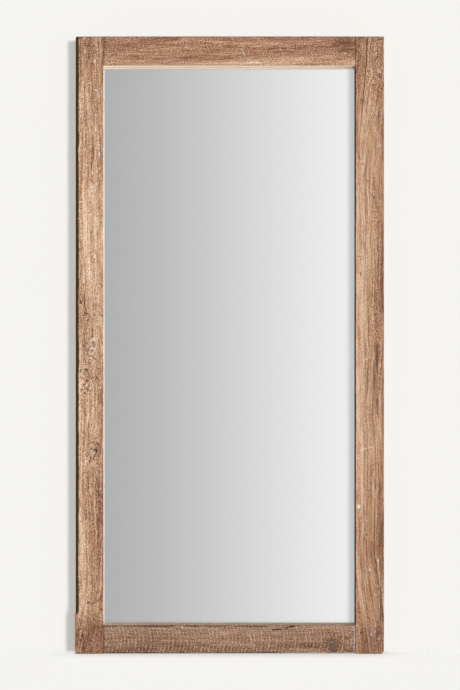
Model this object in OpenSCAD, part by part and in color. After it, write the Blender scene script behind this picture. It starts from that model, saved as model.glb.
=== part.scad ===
// Full-length framed mirror. Two weathered uprights and two cross boards hold a recessed glass, with
// a card sheet and a backing board behind it, turn buttons, corner plates, D-ring hangers and bumpers.
// Millimetres. +Z is up, the front faces -Y, and X runs left to right as seen from the front.
// The origin is under the middle of the overall box, on the floor.

/* [Frame] */
// Overall width across the uprights
frame_w = 900; // [700:10:1100]
// Overall height, feet to top
frame_h = 1800; // [1400:10:2200]
// Thickness of the boards, front to back
board_t = 40; // [33:1:50]
// Width of the two uprights
stile_w = 82; // [68:1:100]
// Width of the top board
top_rail_w = 85; // [70:1:102]
// Width of the bottom board
bottom_rail_w = 82; // [68:1:100]
// Gap between the floor and the bottom board
foot_gap = 3; // [0:0.5:10]
// Radius of the worn outer corner of the right foot
foot_r = 12; // [2:1:20]

/* [Waney edge of the left upright] */
// Width of the bevel across the front
wane_w = 9; // [4:1:14]
// Depth of the bevel down the outer side
wane_d = 18; // [8:1:24]
// Height of the bevel's lower end above the feet
wane_end = 115; // [60:5:200]
// Length over which the bevel runs out
wane_run = 26; // [10:1:60]

/* [Glass and backing] */
// How far the boards reach over the pocket behind them
lip = 12; // [8:1:16]
// Thickness of the mirror glass
glass_t = 4; // [3:1:6]
// Thickness of the card sheet
card_t = 4; // [2:1:6]
// Thickness of the backing board
backing_t = 8; // [6:1:12]
// Free space between each sheet and the pocket
pocket_gap = 2; // [1:0.5:3]
// Length of a setting block
block_len = 60; // [40:5:100]

/* [Joints of the frame] */
// Diameter of a dowel
dowel_d = 10; // [8:1:12]
// Length of a dowel
dowel_len = 60; // [40:2:70]
// Length of a corner plate's legs
plate_leg = 100; // [80:5:120]
// Width of a corner plate's legs
plate_w = 20; // [16:1:24]
// Thickness of a corner plate
plate_t = 2; // [1.5:0.5:3]

/* [Turn buttons] */
// Buttons on each upright
side_buttons = 4; // [2:1:6]
// Buttons on each cross board
end_buttons = 2; // [1:1:3]
// Width of a button
button_w = 12; // [10:1:14]
// Reach of a button from its screw
button_reach = 26; // [23:1:32]
// Thickness of a button
button_t = 1.5; // [1:0.5:3]
// Distance from the pocket's edge to a button's screw
button_set = 9; // [8:1:12]

/* [Hangers] */
// Distance of the ring pins below the top
hanger_in = 430; // [320:10:600]
// Length of a strap below its pin
strap_len = 66; // [50:1:80]
// Width of a strap
strap_w = 20; // [16:1:24]
// Thickness of a strap
strap_t = 2; // [1.5:0.5:2]
// Diameter of the ring wire
wire_d = 4; // [3:0.5:5]
// Mean radius of the ring's round end
ring_r = 14; // [13:1:18]
// Length of the ring's straight sides
ring_leg = 8; // [6:1:12]

/* [Wall bumpers] */
// Height of a bumper, which is the gap to the wall
bumper_t = 10; // [8:1:16]
// Radius of a bumper at the frame
bumper_r = 14; // [10:1:18]
// Distance of the bumpers from the top and from the floor
bumper_in = 170; // [150:5:220]

/* [Screws] */
// Diameter of the small screws
screw_d = 4; // [3:0.5:4.5]
// Depth that the plate screws reach into the wood
plate_screw_in = 10; // [8:1:11]
// Depth that the button, hanger and bumper screws reach into the wood
long_screw_in = 14; // [10:1:16]

/* [Clearances] */
// Radial clearance of a screw or dowel in its hole
hole_gap = 0.05; // [0.02:0.01:0.1]
// Radial clearance where a button turns on its screw and a ring in its curl
turn_gap = 0.08; // [0.02:0.01:0.1]
// Clearance between a turning piece and the face beside it
face_gap = 0.3; // [0.2:0.05:0.5]

/* [Hidden] */
$fn = 64;
eps = 0.5;                                   // how far a cut runs past a face

front = -(board_t + bumper_t) / 2;           // front face of the frame
back = front + board_t;                      // back face of the frame
recess = board_t - glass_t - card_t - backing_t;
sight_x = frame_w / 2 - stile_w;             // half width of the visible glass
sight_lo = foot_gap + bottom_rail_w;         // lower edge of the visible glass
sight_hi = frame_h - top_rail_w;             // upper edge of the visible glass
pocket_x = sight_x + lip;
pocket_lo = sight_lo - lip;
pocket_hi = sight_hi + lip;
stile_x = frame_w / 2 - stile_w / 2;         // centre line of an upright
top_z = frame_h - top_rail_w / 2;            // centre line of the top board
bottom_z = foot_gap + bottom_rail_w / 2;     // centre line of the bottom board

screw_r = screw_d / 2;
pan_r = 2 * screw_r;                         // pan head
pan_h = 0.55 * screw_d;
sunk_r = 1.9 * screw_r;                      // countersunk head
sunk_h = 0.4 * screw_d;
tip = screw_d;                               // length of a screw's point
slot_w = 0.9;                                // width of a cross recess
slot_in = 0.9;                               // depth of a cross recess

dowel_y = front + (board_t - backing_t) / 2 - 1;
dowel_r = dowel_d / 2;
dowel_end = 0.5;                             // free space at a dowel's ends

wire_r = wire_d / 2;
curl_in = wire_r + turn_gap;
curl_out = curl_in + strap_t;
pin_h = strap_t + wire_r + 0.5;              // ring pin above the frame's back
hanger_z = frame_h - hanger_in;              // height of the ring pins
strap_holes = [17, 35, 53];                  // distances of the strap's holes from its pin

button_from = pocket_x + button_set;         // button screws, from the middle
bumper_floor = 4;                            // rubber under a bumper's screw head

// Quarters of the frame: [x sign, 1 for the top or -1 for the bottom]
CORNERS = [[-1, 1], [1, 1], [-1, -1], [1, -1]];
CORNER_NAMES = ["top_left", "top_right", "bottom_left", "bottom_right"];
SIDES = [-1, 1];
SIDE_NAMES = ["left", "right"];

// Dowel heights in a cross board, from the floor, clear of the glass pocket
function dowel_z(top) = top > 0
    ? [for (f = [0.3, 0.78]) frame_h - f * (top_rail_w - lip)]
    : [for (f = [0.3, 0.78]) foot_gap + f * (bottom_rail_w - lip)];

// One turn button: [name, x of its screw, z of its screw, angle that its nose points to]
function spread(n, i, lo, hi) = lo + (i - 0.5) * (hi - lo) / n;
BUTTONS = concat(
    [for (i = [1:side_buttons])
        [str("turn_button_left_", i), -button_from, spread(side_buttons, i, sight_lo, sight_hi), 0]],
    [for (i = [1:side_buttons])
        [str("turn_button_right_", i), button_from, spread(side_buttons, i, sight_lo, sight_hi), 180]],
    [for (i = [1:end_buttons])
        [str("turn_button_top_", i), spread(end_buttons, i, -sight_x, sight_x), pocket_hi + button_set, 90]],
    [for (i = [1:end_buttons])
        [str("turn_button_bottom_", i), spread(end_buttons, i, -sight_x, sight_x), pocket_lo - button_set, -90]]
);

// Corner plate holes, from the corner where its two centre lines cross: [along the board, up or down]
PLATE_HOLES = [[0, 0], [-0.62, 0], [-0.9, 0], [0, -0.55], [0, -0.9]];
plate_run = plate_leg - plate_w / 2;         // from that corner to a leg's end
plate_hole_at = [for (h = PLATE_HOLES) (plate_run - 4) * h];

// Puts children on the frame's back at [x, z]: their +Z points out of the back, their +Y points down
module on_back(x, z) {
    translate([x, back, z]) rotate([-90, 0, 0]) children();
}

// A box given by its low and high corners
module block(lo, hi) {
    translate(lo) cube(hi - lo);
}

module corner_plate_at(c) {
    on_back(c[0] * stile_x, c[1] > 0 ? top_z : bottom_z) mirror([c[0] > 0 ? 0 : 1, 0, 0])
        mirror([0, c[1] > 0 ? 0 : 1, 0]) children();
}

module bumper_at(c) {
    on_back(c[0] * stile_x, c[1] > 0 ? frame_h - bumper_in : bumper_in) children();
}

module hanger_at(s) {
    on_back(s * stile_x, hanger_z) children();
}

// Pilot hole going down from z = 0
module pilot(depth) {
    translate([0, 0, -depth - 1]) cylinder(r = screw_r + hole_gap, h = depth + 1 + eps);
}

// Every pilot hole in the frame's back
module back_pilots() {
    for (b = BUTTONS) on_back(b[1], b[2]) pilot(long_screw_in);
    for (c = CORNERS) {
        corner_plate_at(c) for (h = plate_hole_at) translate([h[0], -h[1], 0]) pilot(plate_screw_in);
        bumper_at(c) pilot(long_screw_in);
    }
    for (s = SIDES) hanger_at(s) for (y = strap_holes) translate([0, y, 0]) pilot(long_screw_in);
}

// Every dowel's axis runs along X, centred on the butt joint
module at_dowels() {
    for (c = CORNERS) for (z = dowel_z(c[1]))
        translate([c[0] * sight_x, dowel_y, z]) rotate([0, 90, 0]) children();
}

module dowel_bores() {
    at_dowels() cylinder(r = dowel_r + hole_gap, h = dowel_len + 2 * dowel_end, center = true);
}

// The pocket behind the lip, which holds the glass, the card and the backing
module pocket() {
    block([-pocket_x, front + recess, pocket_lo], [pocket_x, back + eps, pocket_hi]);
}

// What runs along the left upright's outer front edge and is missing from the board
module wane() {
    translate([-frame_w / 2, front, 0]) {
        translate([0, 0, wane_end]) linear_extrude(frame_h - wane_end + eps)
            polygon([[-eps, -eps], [wane_w, -eps], [wane_w, 0], [0, wane_d], [-eps, wane_d]]);
        // the run-out is a slanted cut across the arris
        translate([0, wane_d, wane_end]) rotate([90, 0, 0]) linear_extrude(wane_d + eps)
            polygon([[-eps, -wane_run], [0, -wane_run], [wane_w / 2, -0.3 * wane_run], [wane_w / 2, eps], [-eps, eps]]);
    }
}

module stile_board(s) {
    block([min(s * frame_w / 2, s * sight_x), front, 0], [max(s * frame_w / 2, s * sight_x), back, frame_h]);
}

module left_stile() {
    color([0.74, 0.58, 0.46]) difference() {
        stile_board(-1);
        pocket();
        dowel_bores();
        back_pilots();
        wane();
    }
}

module right_stile() {
    color([0.72, 0.57, 0.45]) difference() {
        stile_board(1);
        pocket();
        dowel_bores();
        back_pilots();
        translate([frame_w / 2 - foot_r, front - eps, foot_r]) rotate([-90, 0, 0]) difference() {
            cube([foot_r + eps, foot_r + eps, board_t + 2 * eps]);
            cylinder(r = foot_r, h = board_t + 2 * eps);
        }
    }
}

module cross_board(lo, hi) {
    difference() {
        block([-sight_x, front, lo], [sight_x, back, hi]);
        pocket();
        dowel_bores();
        back_pilots();
    }
}

module top_rail() {
    color([0.67, 0.51, 0.40]) cross_board(sight_hi, frame_h);
}

module bottom_rail() {
    color([0.60, 0.46, 0.38]) cross_board(foot_gap, sight_lo);
}

module corner_dowels() {
    // a plain peg with chamfered ends
    color([0.82, 0.70, 0.52]) at_dowels() rotate_extrude() polygon([
        [0, -dowel_len / 2], [dowel_r - 1, -dowel_len / 2], [dowel_r, 1 - dowel_len / 2],
        [dowel_r, dowel_len / 2 - 1], [dowel_r - 1, dowel_len / 2], [0, dowel_len / 2]]);
}

// A flat sheet in the pocket, from depth y0 to y1 behind the front
module sheet(y0, y1, lo) {
    block([-pocket_x + pocket_gap, front + y0, lo], [pocket_x - pocket_gap, front + y1, pocket_hi - pocket_gap]);
}

module mirror_glass() {
    color([0.84, 0.86, 0.87]) sheet(recess, recess + glass_t, pocket_lo + pocket_gap);
}

module setting_block(s) {
    color([0.15, 0.15, 0.16]) translate([s * sight_x / 2 - block_len / 2, front + recess, pocket_lo])
        cube([block_len, glass_t, pocket_gap]);
}

module cushion_sheet() {
    color([0.70, 0.56, 0.38]) sheet(recess + glass_t, recess + glass_t + card_t, pocket_lo);
}

module backing_board() {
    color([0.52, 0.38, 0.26]) sheet(board_t - backing_t, board_t, pocket_lo);
}

module turn_button(b) {
    color([0.72, 0.72, 0.70]) on_back(b[1], b[2]) rotate([0, 0, b[3]]) translate([0, 0, face_gap])
        linear_extrude(button_t) difference() {
            union() {
                circle(d = button_w);
                translate([0, -button_w / 2]) square([button_reach - button_w / 2, button_w]);
                translate([button_reach - button_w / 2, 0]) circle(d = button_w);
            }
            circle(r = screw_r + turn_gap);
        }
}

// Cross recess, cut down from z = 0
module cross_recess(r) {
    for (a = [0, 90]) rotate([0, 0, a]) translate([-r, -slot_w / 2, -slot_in]) cube([2 * r, slot_w, slot_in + eps]);
}

// Pan-head screw: z = 0 is under the head, and shank_len is the whole length below it
module pan_screw(shank_len) {
    difference() {
        union() {
            cylinder(r1 = pan_r, r2 = 0.7 * pan_r, h = pan_h);
            translate([0, 0, tip - shank_len]) cylinder(r = screw_r, h = shank_len - tip + eps);
            translate([0, 0, -shank_len]) cylinder(r1 = 0.3, r2 = screw_r, h = tip);
        }
        translate([0, 0, pan_h]) cross_recess(0.5 * pan_r);
    }
}

// Countersunk screw: z = 0 is the top of its head
module sunk_screw(len) {
    difference() {
        union() {
            translate([0, 0, -sunk_h]) cylinder(r1 = screw_r, r2 = sunk_r, h = sunk_h);
            translate([0, 0, tip - len]) cylinder(r = screw_r, h = len - tip - sunk_h);
            translate([0, 0, -len]) cylinder(r1 = 0.3, r2 = screw_r, h = tip);
        }
        cross_recess(0.5 * sunk_r);
    }
}

// Countersunk hole down from z = 0 through a plate of thickness t
module sunk_hole(t) {
    translate([0, 0, -t - eps]) cylinder(r = screw_r + hole_gap, h = t + 2 * eps);
    translate([0, 0, -sunk_h]) cylinder(r1 = screw_r + hole_gap, r2 = sunk_r + hole_gap, h = sunk_h);
    cylinder(r = sunk_r + hole_gap, h = eps);
}

module turn_button_screws() {
    grip = button_t + 2 * face_gap;
    color([0.78, 0.75, 0.62]) for (b = BUTTONS) on_back(b[1], b[2]) translate([0, 0, grip])
        pan_screw(grip + long_screw_in);
}

module corner_plate(c) {
    // an L whose centre lines cross over the corner, with legs along the two boards
    color([0.66, 0.67, 0.68]) corner_plate_at(c) difference() {
        linear_extrude(plate_t) {
            translate([-plate_run, -plate_w / 2]) square([plate_leg, plate_w]);
            translate([-plate_w / 2, -plate_w / 2]) square([plate_w, plate_leg]);
        }
        for (h = plate_hole_at) translate([h[0], -h[1], plate_t]) sunk_hole(plate_t);
    }
}

module corner_plate_screws() {
    color([0.78, 0.75, 0.62]) for (c = CORNERS) corner_plate_at(c)
        for (h = plate_hole_at) translate([h[0], -h[1], plate_t]) sunk_screw(plate_t + plate_screw_in);
}

module hanger_strap(s) {
    color([0.70, 0.70, 0.69]) hanger_at(s) difference() {
        union() {
            translate([-strap_w / 2, 0, 0]) cube([strap_w, strap_len - strap_w / 2, strap_t]);
            translate([0, strap_len - strap_w / 2, 0]) cylinder(d = strap_w, h = strap_t);
            translate([0, 0, pin_h]) rotate([0, 90, 0]) cylinder(r = curl_out, h = strap_w, center = true);
        }
        translate([0, 0, pin_h]) rotate([0, 90, 0]) cylinder(r = curl_in, h = strap_w + 2 * eps, center = true);
        for (y = strap_holes) translate([0, y, strap_t]) sunk_hole(strap_t);
    }
}

module hanger_ring(s) {
    // wire bent to a D, hanging down from its straight side
    color([0.74, 0.74, 0.73]) hanger_at(s) translate([0, 0, pin_h]) {
        rotate([0, 90, 0]) cylinder(r = wire_r, h = 2 * ring_r, center = true);
        for (x = [-ring_r, ring_r]) {
            translate([x, 0, 0]) sphere(r = wire_r);
            translate([x, 0, 0]) rotate([-90, 0, 0]) cylinder(r = wire_r, h = ring_leg);
        }
        translate([0, ring_leg, 0]) rotate_extrude(angle = 180) translate([ring_r, 0]) circle(r = wire_r);
    }
}

module hanger_screws() {
    color([0.78, 0.75, 0.62]) for (s = SIDES) hanger_at(s)
        for (y = strap_holes) translate([0, y, strap_t]) sunk_screw(strap_t + long_screw_in);
}

module wall_bumper(c) {
    hole = screw_r + hole_gap;
    color([0.16, 0.16, 0.17]) bumper_at(c) rotate_extrude() polygon([
        [hole, 0], [bumper_r, 0], [bumper_r - 2, bumper_t], [pan_r + 2, bumper_t],
        [pan_r + 2, bumper_floor], [hole, bumper_floor]]);
}

module wall_bumper_screws() {
    color([0.78, 0.75, 0.62]) for (c = CORNERS) bumper_at(c) translate([0, 0, bumper_floor])
        pan_screw(bumper_floor + long_screw_in);
}

left_stile();
right_stile();
top_rail();
bottom_rail();
corner_dowels();
mirror_glass();
cushion_sheet();
backing_board();
for (b = BUTTONS) turn_button(b);
turn_button_screws();
for (i = [0:3]) {
    corner_plate(CORNERS[i]);
    wall_bumper(CORNERS[i]);
}
corner_plate_screws();
for (i = [0:1]) {
    setting_block(SIDES[i]);
    hanger_strap(SIDES[i]);
    hanger_ring(SIDES[i]);
}
hanger_screws();
wall_bumper_screws();
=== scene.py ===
"""Full-length mirror in a reclaimed-wood frame: its looks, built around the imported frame.

The camera and the studio come first, and then the mirror in the order of its assembly: the two
uprights, the two cross boards, the glass, the dowels, the rubber, the backing and the steel hardware
on the back. Lengths are in metres, written as millimetres times MM.
"""

import math

import bmesh
import bpy
import numpy as np
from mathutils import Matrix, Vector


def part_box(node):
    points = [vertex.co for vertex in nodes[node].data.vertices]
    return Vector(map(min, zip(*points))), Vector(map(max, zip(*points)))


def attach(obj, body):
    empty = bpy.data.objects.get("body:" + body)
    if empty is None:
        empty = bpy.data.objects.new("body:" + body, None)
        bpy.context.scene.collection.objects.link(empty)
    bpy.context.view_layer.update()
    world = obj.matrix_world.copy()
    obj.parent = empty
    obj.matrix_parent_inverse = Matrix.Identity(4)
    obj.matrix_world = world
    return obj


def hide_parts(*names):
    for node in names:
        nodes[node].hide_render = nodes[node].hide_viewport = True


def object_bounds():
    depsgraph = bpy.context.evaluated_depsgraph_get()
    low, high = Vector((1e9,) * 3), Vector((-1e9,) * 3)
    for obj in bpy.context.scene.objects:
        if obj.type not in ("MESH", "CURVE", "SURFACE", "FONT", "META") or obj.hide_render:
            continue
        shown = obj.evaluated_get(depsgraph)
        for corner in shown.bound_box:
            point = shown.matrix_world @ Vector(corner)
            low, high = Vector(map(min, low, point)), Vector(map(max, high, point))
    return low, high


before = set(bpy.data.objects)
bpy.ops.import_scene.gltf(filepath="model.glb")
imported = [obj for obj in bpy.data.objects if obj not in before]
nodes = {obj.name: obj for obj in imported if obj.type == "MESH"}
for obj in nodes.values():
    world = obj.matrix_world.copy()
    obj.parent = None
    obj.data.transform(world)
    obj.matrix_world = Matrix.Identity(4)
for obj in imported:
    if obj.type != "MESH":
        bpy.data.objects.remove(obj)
cad_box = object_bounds()
MM = 0.001
low, high = (np.array(corner) for corner in cad_box)

# ---------------------------------------------------------------------------------------------
# Camera. It stands level in front of the mirror, a little left of its middle and at hip height,
# and its shift puts the mirror in the middle of the picture.
CAMERA_BACK = 4.355          # from the frame's front face
CAMERA_SIDE = -0.047
CAMERA_HEIGHT = 0.650
PICTURE_TALL = 2.0110        # what the picture's height covers at the front face
PICTURE_MID = 0.9003         # height of the picture's middle there
PICTURE_SIDE = 0.001         # and how far it is to the right of the mirror's middle
SENSOR = 36.0

camera = bpy.data.objects.new("camera", bpy.data.cameras.new("camera"))
bpy.context.scene.collection.objects.link(camera)
camera.location = (CAMERA_SIDE, low[1] - CAMERA_BACK, CAMERA_HEIGHT)
camera.rotation_euler = (math.radians(90), 0, 0)
camera.data.sensor_width = SENSOR
camera.data.lens = SENSOR * CAMERA_BACK / PICTURE_TALL
camera.data.shift_x = (PICTURE_SIDE - CAMERA_SIDE) / PICTURE_TALL
camera.data.shift_y = (PICTURE_MID - CAMERA_HEIGHT) / PICTURE_TALL
camera.data.clip_end = 60
bpy.context.scene.camera = camera

# ---------------------------------------------------------------------------------------------
# Studio. A white wall touches the bumpers and a white floor carries the feet. The key light comes
# from the right at the height of the mirror's middle, and a broad fill comes from the front.
scene = bpy.context.scene
scene.view_settings.view_transform = "Standard"
scene.view_settings.look = "None"
PAPER = (0.913, 0.905, 0.872)        # how white the paper looks
# The floor's glow is turned down near the feet, a painted contact shadow.
WALL_GLOW, FLOOR_GLOW = 0.267, 0.978           # the share of that white that glows evenly
WALL_LIT, FLOOR_LIT = 0.745 / 0.95, 0.10       # the share that takes the lamps' light
ROOM = 9.0


def node(tree, kind, sockets=None, **settings):
    """Adds one shader node; sockets maps an input's name or number to a value or to an output."""
    made = tree.nodes.new(kind)
    for key, value in settings.items():
        setattr(made, key, value)
    for key, value in (sockets or {}).items():
        if isinstance(value, bpy.types.NodeSocket):
            tree.links.new(value, made.inputs[key])
        else:
            made.inputs[key].default_value = value
    return made


def new_material(name):
    """An empty node material and its output node."""
    material = bpy.data.materials.new(name)
    material.use_nodes = True
    material.node_tree.nodes.clear()
    return material, node(material.node_tree, "ShaderNodeOutputMaterial")


def tools(tree):
    """Short ways to add a tree's commonest nodes: arithmetic on one to three numbers or outputs, a
    value's place in a window as a number from low_end to high_end, and noise from 0 to 1."""
    def sums(kind, a, b=0.0, c=0.0):
        return node(tree, "ShaderNodeMath", {0: a, 1: b, 2: c}, operation=kind).outputs[0]

    def window(value, start, full, low_end=0.0, high_end=1.0):
        return node(tree, "ShaderNodeMapRange", {"Value": value, "From Min": start, "From Max": full,
                                                 "To Min": low_end, "To Max": high_end}).outputs[0]

    def noise(place, scale=1.0, detail=2.0, rough=0.5):
        return node(tree, "ShaderNodeTexNoise", {"Vector": place, "Scale": scale, "Detail": detail,
                                                 "Roughness": rough}).outputs["Fac"]

    return sums, window, noise


def paper_material(name, glow_share, lit_share, contact):
    """White studio paper, seen from its front only: part glows, turned down by ambient occlusion
    where something stands close by as a painted contact shadow, and part takes the light."""
    material, out = new_material(name)
    tree = material.node_tree
    _, window, _ = tools(tree)
    # Painted contact shadow: the glow drops where something stands close by.
    open_air = node(tree, "ShaderNodeAmbientOcclusion", {"Distance": 0.11}).outputs["AO"]
    glow_with_contact_shadow = window(open_air, 0.0, 1.0, glow_share * (1 - contact), glow_share)
    glow = node(tree, "ShaderNodeEmission", {"Color": (*PAPER, 1), "Strength": glow_with_contact_shadow})
    lit = node(tree, "ShaderNodeBsdfDiffuse", {"Color": (*(lit_share * c for c in PAPER), 1)})
    both = node(tree, "ShaderNodeAddShader", {0: glow.outputs[0], 1: lit.outputs[0]})
    behind = node(tree, "ShaderNodeNewGeometry").outputs["Backfacing"]
    clear = node(tree, "ShaderNodeBsdfTransparent")
    shown = node(tree, "ShaderNodeMixShader", {0: behind, 1: both.outputs[0], 2: clear.outputs[0]})
    tree.links.new(shown.outputs[0], out.inputs["Surface"])
    return material


def studio_sheet(name, corners, material):
    """A flat four-sided sheet through its corners, which belongs to the studio."""
    mesh = bpy.data.meshes.new(name)
    mesh.from_pydata(corners, [], [(0, 1, 2, 3)])
    made = bpy.data.objects.new(name, mesh)
    scene.collection.objects.link(made)
    mesh.materials.append(material)
    return made


wall_y = high[1] + 0.2 * MM
wall = studio_sheet(
    "wall", [(-ROOM, wall_y, -ROOM), (ROOM, wall_y, -ROOM), (ROOM, wall_y, ROOM), (-ROOM, wall_y, ROOM)],
    paper_material("wall paper", WALL_GLOW, WALL_LIT, contact=0.0))
floor = studio_sheet(
    "floor", [(-ROOM, -ROOM, 0), (ROOM, -ROOM, 0), (ROOM, ROOM, 0), (-ROOM, ROOM, 0)],
    paper_material("floor paper", FLOOR_GLOW, FLOOR_LIT, contact=0.5))
for sheet in (wall, floor):
    sheet.visible_glossy = False
    sheet.visible_diffuse = False
    sheet.visible_shadow = False


def sun(name, strength, softness, right, up, on_paper=True):
    """A distant lamp that shines from an angle to the right of the front and an angle upwards. Some
    lamps light the mirror alone, and none shows as a disc in the glass."""
    lamp = bpy.data.lights.new(name, "SUN")
    lamp.energy, lamp.angle = strength, math.radians(softness)
    made = bpy.data.objects.new(name, lamp)
    made.rotation_euler = (math.radians(90 - up), 0, math.radians(right))
    made.visible_glossy = False
    scene.collection.objects.link(made)
    if not on_paper:
        left_dark = bpy.data.collections.new(name + " leaves dark")
        for paper in (wall, floor):
            left_dark.objects.link(paper)
        made.light_linking.receiver_collection = left_dark
        for item in left_dark.collection_objects:
            item.light_linking.link_state = "EXCLUDE"
    return made


sun("key light", 1.95, 13, right=33, up=1.5)
sun("front fill", 0.80, 25, right=4, up=5)
sun("rake light", 1.35, 8, right=68, up=12, on_paper=False)
sun("low bounce", 2.3, 30, right=42, up=-72, on_paper=False)
back_light = sun("back light", 2.4, 20, right=150, up=35, on_paper=False)
back_light.visible_glossy = True

# ---------------------------------------------------------------------------------------------
# Room seen in the glass: a soft card behind the camera, darker towards the left, that only
# mirror reflections see. Its dark band at the right and its dim strips at foot and top are
# painted shadow, which the glass shows along the frame's inner edges. Around it the room is a
# plain light grey.
CARD_AWAY = 6.0
CARD_REACH = (CAMERA_BACK + CARD_AWAY) / CAMERA_BACK   # how far glass points spread on the card
CARD_HALF = 1.8
# what the glass shows: (place across the glass, brightness there), straight between; the last
# stop darkens the glass's right edge as a painted shadow of the right upright
GLASS_TONES_AND_EDGE_SHADOW = [(-0.368, 0.465), (-0.23, 0.525), (-0.10, 0.61), (0.03, 0.70), (0.17, 0.80),
               (0.30, 0.895), (0.342, 0.905), (0.356, 0.57)]
# painted shadow along the glass's foot and top edges: where the card's glow runs from dim to full
CARD_EDGE_SHADOW_RIMS = [(0.084, 0.096), (1.716, 1.704)]   # from dim to full: heights on the glass, foot and top


def on_card(glass_x):
    """Where the camera sees a point of the card in the glass, as a share of the card's width."""
    x = CAMERA_SIDE + (glass_x - CAMERA_SIDE) * CARD_REACH
    return (x + CARD_HALF) / (2 * CARD_HALF)


card_material, out = new_material("room card")
tree = card_material.node_tree
sums, window, _ = tools(tree)
place = node(tree, "ShaderNodeSeparateXYZ", {0: node(tree, "ShaderNodeTexCoord").outputs["Object"]})
tones = node(tree, "ShaderNodeValToRGB", {"Fac": window(place.outputs["X"], -CARD_HALF, CARD_HALF)})
stops = tones.color_ramp.elements
for number, (glass_x, tone) in enumerate(GLASS_TONES_AND_EDGE_SHADOW):
    stop = stops[number] if number < 2 else stops.new(on_card(glass_x))
    stop.position, stop.color = on_card(glass_x), (tone, tone, tone, 1)
# The card glows less in the strips that the glass shows along its foot and top: painted shadow.
edge_shadow_glow = []
for rim in CARD_EDGE_SHADOW_RIMS:
    start, full = (CAMERA_HEIGHT + (z - CAMERA_HEIGHT) * CARD_REACH for z in rim)
    out_by = start - full
    edge_shadow_glow.append(sums("MAXIMUM", window(place.outputs["Z"], start, full, 0.76),
                        window(place.outputs["Z"], start + 2 * out_by, start + 9 * out_by, 0.76)))
glow = node(tree, "ShaderNodeEmission", {"Color": tones.outputs["Color"],
                                         "Strength": sums("MULTIPLY", *edge_shadow_glow)})
tree.links.new(glow.outputs[0], out.inputs["Surface"])
card_y = low[1] - CARD_AWAY
CARD_LOW, CARD_HIGH = -3, 6
card = studio_sheet(
    "room_card", [(-CARD_HALF, card_y, CARD_LOW), (-CARD_HALF, card_y, CARD_HIGH),
                  (CARD_HALF, card_y, CARD_HIGH), (CARD_HALF, card_y, CARD_LOW)], card_material)
card.visible_camera = card.visible_diffuse = card.visible_shadow = card.visible_transmission = False

world = bpy.data.worlds.new("studio air")
scene.world = world
world.use_nodes = True
tree = world.node_tree
tree.nodes.clear()
seen_by = node(tree, "ShaderNodeLightPath")
air = node(tree, "ShaderNodeBackground", {"Color": (1, 1, 1, 1), "Strength": 0.17}).outputs[0]
for ray, colour in (("Is Glossy Ray", (0.52, 0.52, 0.515)), ("Is Camera Ray", PAPER)):
    shown = node(tree, "ShaderNodeBackground", {"Color": (*colour, 1), "Strength": 1.0}).outputs[0]
    air = node(tree, "ShaderNodeMixShader", {0: seen_by.outputs[ray], 1: air, 2: shown}).outputs[0]
tree.links.new(air, node(tree, "ShaderNodeOutputWorld").inputs["Surface"])

# ---------------------------------------------------------------------------------------------
# Left upright: an old board of weathered softwood, full height, with a waney edge along its outer
# front arris down to a chip near the foot, coloured near black as bark and painted shade, and a sawn
# rebate behind its inner edge. Its reveal is paled to near white, partly a painted highlight.
BOARD_THICK = 40 * MM
LIP = 12 * MM
RECESS = 24 * MM
FACE_STEPS, ROW = 58, 2.6 * MM       # how fine a board's mesh is, across and along
END_EASE = 1.6 * MM


def cloud(x, y, seed):
    """Value noise in 0..1: random numbers on a unit lattice, joined by smooth steps in x and y."""
    table = np.random.default_rng(seed).random((61, 97))
    i, j = np.floor(x).astype(int), np.floor(y).astype(int)
    a, b = x - i, y - j
    a, b = a * a * (3 - 2 * a), b * b * (3 - 2 * b)
    corner = lambda di, dj: table[(i + di) % 61, (j + dj) % 97]
    return ((corner(0, 0) * (1 - a) + corner(1, 0) * a) * (1 - b)
            + (corner(0, 1) * (1 - a) + corner(1, 1) * a) * b)


def rough_cloud(x, y, seed, layers=3):
    """Layers of cloud, each at twice the scale and half the strength of the one before."""
    total = sum(cloud(x * 2 ** k, y * 2 ** k, seed + k) / 2 ** k for k in range(layers))
    return total / sum(1 / 2 ** k for k in range(layers))


def smooth(value, start, end):
    """0 before start, 1 after end, and a smooth step between."""
    t = np.clip((value - start) / (end - start), 0, 1)
    return t * t * (3 - 2 * t)


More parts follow.
